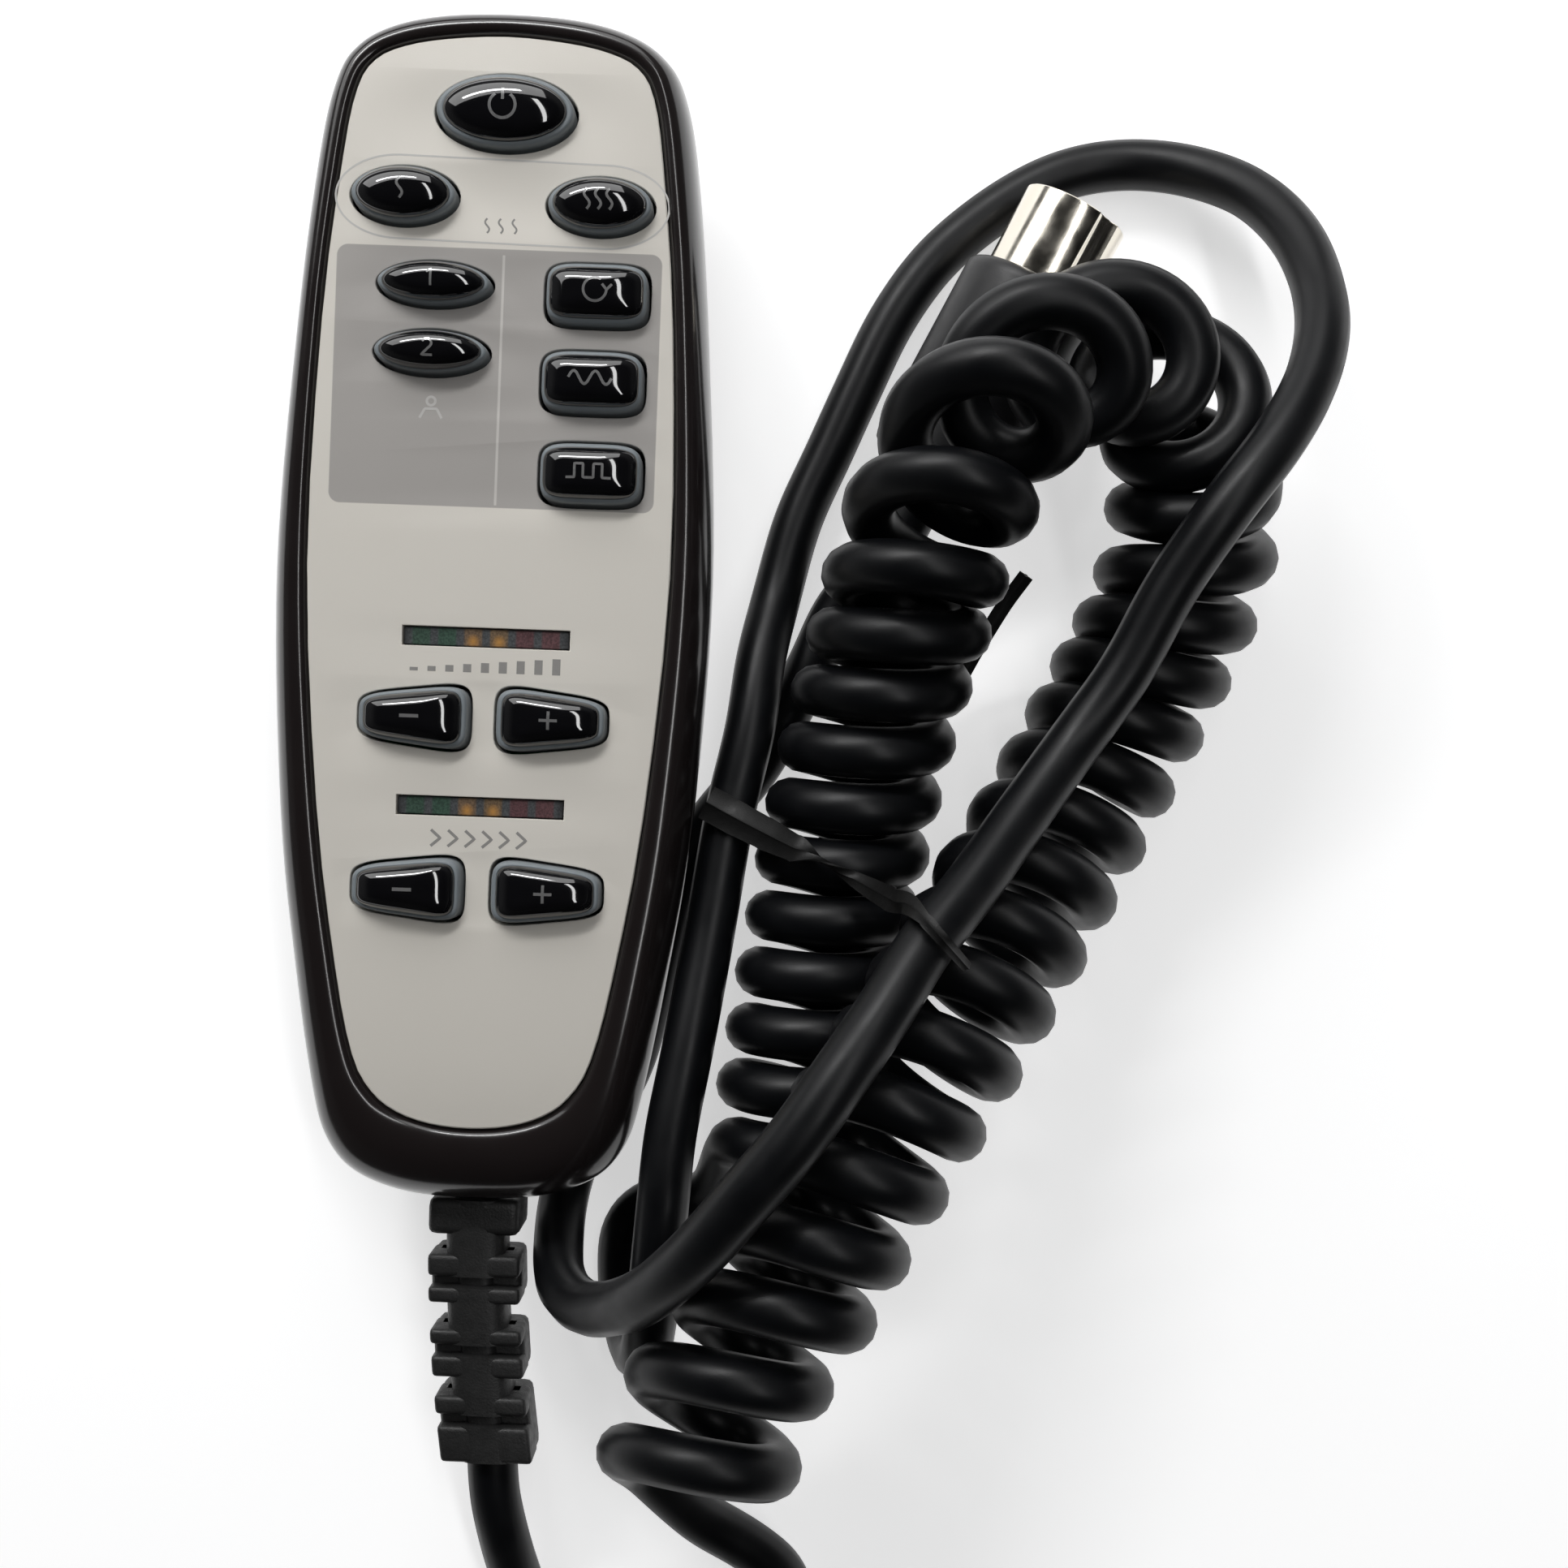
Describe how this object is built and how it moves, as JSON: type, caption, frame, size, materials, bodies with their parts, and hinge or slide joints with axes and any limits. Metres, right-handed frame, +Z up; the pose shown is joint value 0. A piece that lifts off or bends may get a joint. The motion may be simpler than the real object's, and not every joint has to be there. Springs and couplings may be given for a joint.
{
  "type": "wired massage chair hand controller",
  "caption": "Slim wired handset with domed keys, bar displays and a curly cord ending in a round DIN plug, for a massage and heat seat.",
  "frame": {"origin": "on the surface under the middle of the handset's outline", "axes": "+Z up through the keys, +Y towards the power key, -Y towards the strain relief"},
  "size_m": [0.1248, 0.2144, 0.0497],
  "materials": {
    "shell_black": "glossy black moulded plastic",
    "face_beige": "fine matt beige plastic with grey printing",
    "silicone_grey": "matt grey-blue silicone",
    "cap_black": "high-gloss black domed cap",
    "board_green": "green solder mask",
    "carbon_black": "printed carbon",
    "chip_black": "matt black moulded plastic",
    "led_lens": "diffused light block",
    "window_smoke": "smoked clear plastic",
    "header_ivory": "ivory plastic",
    "wire_red": "thin insulated wires",
    "screw_steel": "plated steel",
    "cord_black": "satin black cord jacket",
    "plug_black": "satin black moulded grip",
    "nickel": "nickel plate",
    "tie_black": "black plastic ribbon"
  },
  "bodies": {
    "handset": {"lower_shell": "shell_black", "upper_shell": "shell_black", "faceplate": "face_beige", "keypad_mat": "silicone_grey", "circuit_board": "board_green", "board_contacts": "carbon_black", "control_chip": "chip_black", "led_row_intensity": "led_lens", "led_row_speed": "led_lens", "light_baffle_intensity": "chip_black", "light_baffle_speed": "chip_black", "lens_intensity": "window_smoke", "lens_speed": "window_smoke", "cable_header": "header_ivory", "inner_wires": "wire_red", "cable_clamp": "chip_black", "case_screws": "screw_steel", "board_screws": "screw_steel", "strain_relief": "cord_black", "handset_lead": "cord_black", "curly_cord": "cord_black", "plug_lead": "cord_black", "plug_grip": "plug_black", "plug_shell": "nickel", "plug_insulator": "chip_black", "plug_pins": "nickel", "twist_tie": "tie_black"},
    "power_button": {"key_power": "silicone_grey", "cap_power": "cap_black"},
    "heat_low_button": {"key_heat_low": "silicone_grey", "cap_heat_low": "cap_black"},
    "heat_high_button": {"key_heat_high": "silicone_grey", "cap_heat_high": "cap_black"},
    "zone_1_button": {"key_zone_1": "silicone_grey", "cap_zone_1": "cap_black"},
    "zone_2_button": {"key_zone_2": "silicone_grey", "cap_zone_2": "cap_black"},
    "select_button": {"key_select": "silicone_grey", "cap_select": "cap_black"},
    "wave_button": {"key_wave": "silicone_grey", "cap_wave": "cap_black"},
    "pulse_button": {"key_pulse": "silicone_grey", "cap_pulse": "cap_black"},
    "intensity_down_button": {"key_intensity_down": "silicone_grey", "cap_intensity_down": "cap_black"},
    "intensity_up_button": {"key_intensity_up": "silicone_grey", "cap_intensity_up": "cap_black"},
    "speed_down_button": {"key_speed_down": "silicone_grey", "cap_speed_down": "cap_black"},
    "speed_up_button": {"key_speed_up": "silicone_grey", "cap_speed_up": "cap_black"}
  },
  "joints": [
    {"name": "power_press", "type": "slide", "parent": "handset", "child": "power_button", "axis": [0, 0, -1], "range_m": [0, 0.0008], "stiffness_N_per_m": 800},
    {"name": "heat_low_press", "type": "slide", "parent": "handset", "child": "heat_low_button", "axis": [0, 0, -1], "range_m": [0, 0.0008], "stiffness_N_per_m": 800},
    {"name": "heat_high_press", "type": "slide", "parent": "handset", "child": "heat_high_button", "axis": [0, 0, -1], "range_m": [0, 0.0008], "stiffness_N_per_m": 800},
    {"name": "zone_1_press", "type": "slide", "parent": "handset", "child": "zone_1_button", "axis": [0, 0, -1], "range_m": [0, 0.0008], "stiffness_N_per_m": 800},
    {"name": "zone_2_press", "type": "slide", "parent": "handset", "child": "zone_2_button", "axis": [0, 0, -1], "range_m": [0, 0.0008], "stiffness_N_per_m": 800},
    {"name": "select_press", "type": "slide", "parent": "handset", "child": "select_button", "axis": [0, 0, -1], "range_m": [0, 0.0008], "stiffness_N_per_m": 800},
    {"name": "wave_press", "type": "slide", "parent": "handset", "child": "wave_button", "axis": [0, 0, -1], "range_m": [0, 0.0008], "stiffness_N_per_m": 800},
    {"name": "pulse_press", "type": "slide", "parent": "handset", "child": "pulse_button", "axis": [0, 0, -1], "range_m": [0, 0.0008], "stiffness_N_per_m": 800},
    {"name": "intensity_down_press", "type": "slide", "parent": "handset", "child": "intensity_down_button", "axis": [0, 0, -1], "range_m": [0, 0.0008], "stiffness_N_per_m": 800},
    {"name": "intensity_up_press", "type": "slide", "parent": "handset", "child": "intensity_up_button", "axis": [0, 0, -1], "range_m": [0, 0.0008], "stiffness_N_per_m": 800},
    {"name": "speed_down_press", "type": "slide", "parent": "handset", "child": "speed_down_button", "axis": [0, 0, -1], "range_m": [0, 0.0008], "stiffness_N_per_m": 800},
    {"name": "speed_up_press", "type": "slide", "parent": "handset", "child": "speed_up_button", "axis": [0, 0, -1], "range_m": [0, 0.0008], "stiffness_N_per_m": 800}
  ]
}
